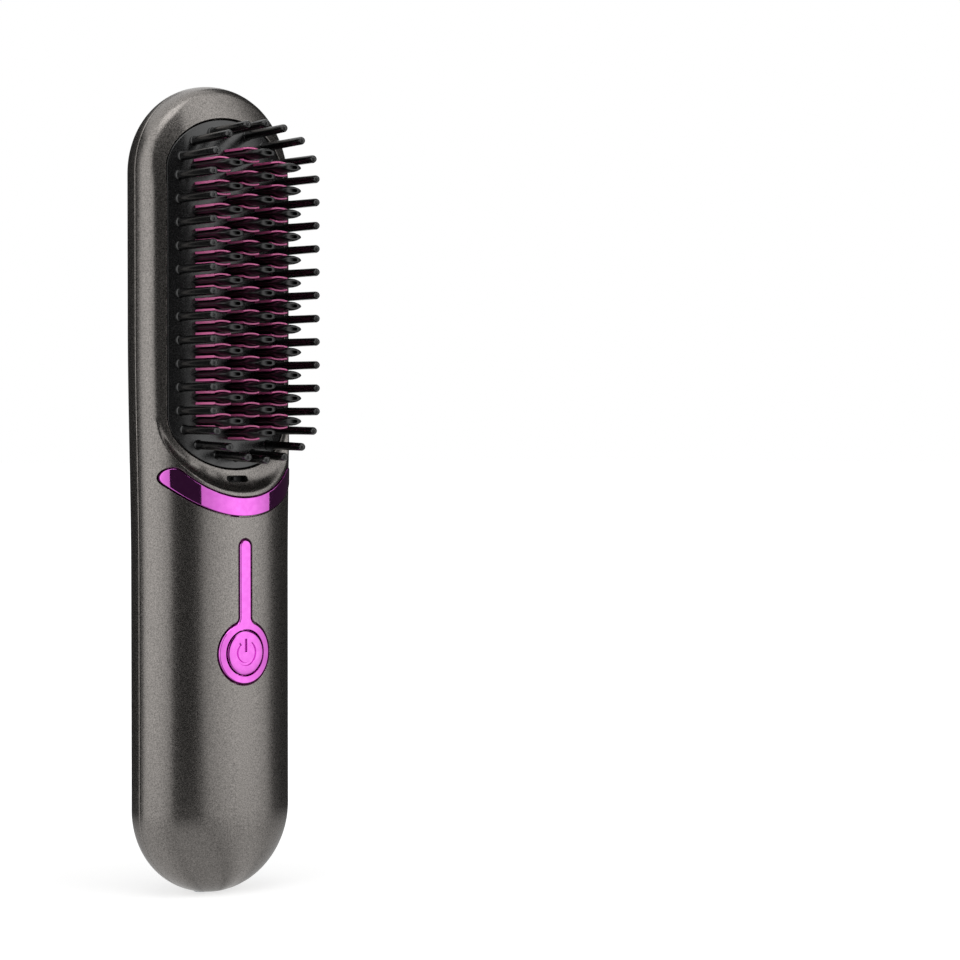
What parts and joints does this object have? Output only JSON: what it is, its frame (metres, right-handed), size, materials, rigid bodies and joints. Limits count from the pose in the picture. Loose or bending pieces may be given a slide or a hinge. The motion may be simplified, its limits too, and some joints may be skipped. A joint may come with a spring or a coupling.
{
  "type": "hair straightening brush",
  "caption": "Cordless pill-shaped hair straightening brush with a heated comb, round guard pins, a keyhole trim round a power button and a charging port at the bottom.",
  "frame": {"origin": "centre of the charging end, on the plane where the two shells meet", "axes": "+Z along the brush from the charging end to the head, -Y towards the bristles, +X to the right when seen from the bristle side"},
  "size_m": [0.0424, 0.0353, 0.1898],
  "materials": {
    "shell": "satin metallic",
    "accent": "polished, tinted",
    "comb_black": "fine matt",
    "comb_posts": "fine matt",
    "fin_coating": "satin ceramic coating on aluminium",
    "steel": "plated",
    "ceramic": "fired ceramic",
    "mica": "flaky sheet",
    "frame_black": "moulded, glass filled",
    "cell_wrap": "shrink sleeve",
    "foam": "closed cell foam",
    "board_green": "solder mask",
    "part_black": "moulded package",
    "part_grey": "pressed ferrite",
    "part_tan": "ceramic chip",
    "part_white": "moulded nylon",
    "module_blue": "potted housing",
    "wire_white": "silicone sleeve",
    "wire_red": "silicone sleeve",
    "wire_yellow": "silicone sleeve"
  },
  "bodies": {
    "body": {"front_shell": "shell", "back_shell": "shell", "accent_crescent": "accent", "keyhole_trim": "accent", "comb_plate": "comb_black", "comb_teeth": "comb_posts", "heater_plate": "fin_coating", "heater_strips": "ceramic", "mica_sheet": "mica", "heater_frame": "frame_black", "heater_screws": "steel", "thermistor": "part_black", "thermal_fuse": "ceramic", "heater_leads": "wire_white", "sensor_leads": "wire_white", "ion_generator": "module_blue", "ion_emitter": "part_black", "ion_lead": "wire_red", "inner_frame": "frame_black", "frame_screws": "steel", "battery_cell": "cell_wrap", "battery_tabs": "steel", "battery_pads": "foam", "battery_leads": "wire_red", "main_pcb": "board_green", "pcb_screws": "steel", "control_chip": "part_black", "heater_mosfets": "part_black", "power_inductor": "part_grey", "capacitors": "part_tan", "lead_connectors": "part_white", "status_leds": "part_white", "switch_body": "part_black", "usb_port": "steel", "usb_tongue": "part_black", "charge_board": "board_green", "charge_leads": "wire_yellow", "shell_screws": "steel"},
    "button": {"power_button": "accent"},
    "plunger": {"switch_plunger": "part_white"}
  },
  "joints": [
    {"name": "button_press", "type": "slide", "parent": "body", "child": "button", "axis": [0, 1, 0], "range_m": [0, 0.0005], "stiffness_N_per_m": 400},
    {"name": "plunger_press", "type": "slide", "parent": "body", "child": "plunger", "axis": [0, 1, 0], "range_m": [0, 0.0005]}
  ],
  "couplings": [
    {"joint": "plunger_press", "follows": "button_press", "ratio": 1}
  ]
}
